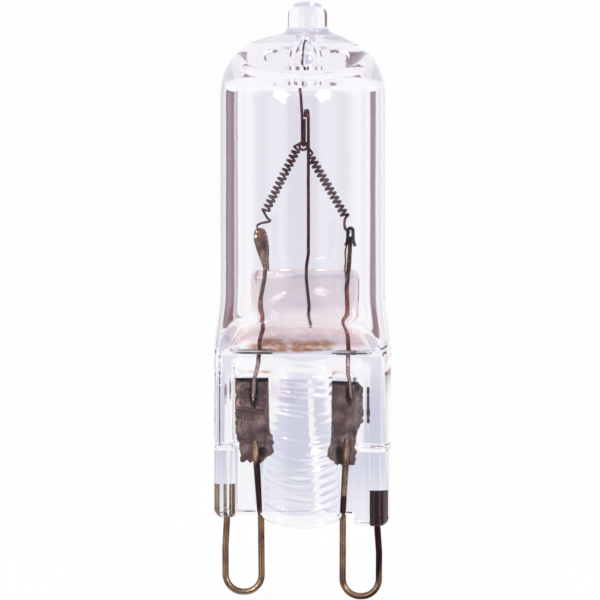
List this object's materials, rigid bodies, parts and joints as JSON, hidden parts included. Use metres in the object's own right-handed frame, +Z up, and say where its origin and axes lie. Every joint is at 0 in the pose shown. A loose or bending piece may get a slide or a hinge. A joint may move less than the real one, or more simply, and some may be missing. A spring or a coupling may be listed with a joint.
{
  "type": "halogen capsule bulb",
  "caption": "Clear quartz capsule bulb with a flat pinch seal, two plug-in wire loops and a coiled filament strung as an inverted V.",
  "frame": {"origin": "on the bulb's axis, in the plane where the terminal loops leave the pinch", "axes": "+Z up the bulb's axis to its sealed tip, +X from the left loop to the right loop, -Y to the front"},
  "size_m": [0.0136, 0.0126, 0.0457],
  "materials": {
    "quartz": "clear fire-polished quartz glass",
    "bridge_quartz": "clear pressed quartz glass",
    "seal_foil": "dull molybdenum foil",
    "terminal_wire": "bronze-toned oxidised molybdenum wire",
    "lead_wire": "oxidised molybdenum wire",
    "clamp_strip": "folded molybdenum strip",
    "filament_wire": "coiled tungsten wire",
    "support_wire": "tungsten wire"
  },
  "bodies": {
    "root": {"glass_envelope": "quartz", "mount_bridge": "bridge_quartz", "left_seal_foil": "seal_foil", "right_seal_foil": "seal_foil", "left_terminal_loop": "terminal_wire", "right_terminal_loop": "terminal_wire", "left_lead_wire": "lead_wire", "right_lead_wire": "lead_wire", "left_filament_clamp": "clamp_strip", "right_filament_clamp": "clamp_strip", "filament": "filament_wire", "support_post": "support_wire", "tip_wire": "support_wire"}
  },
  "joints": []
}
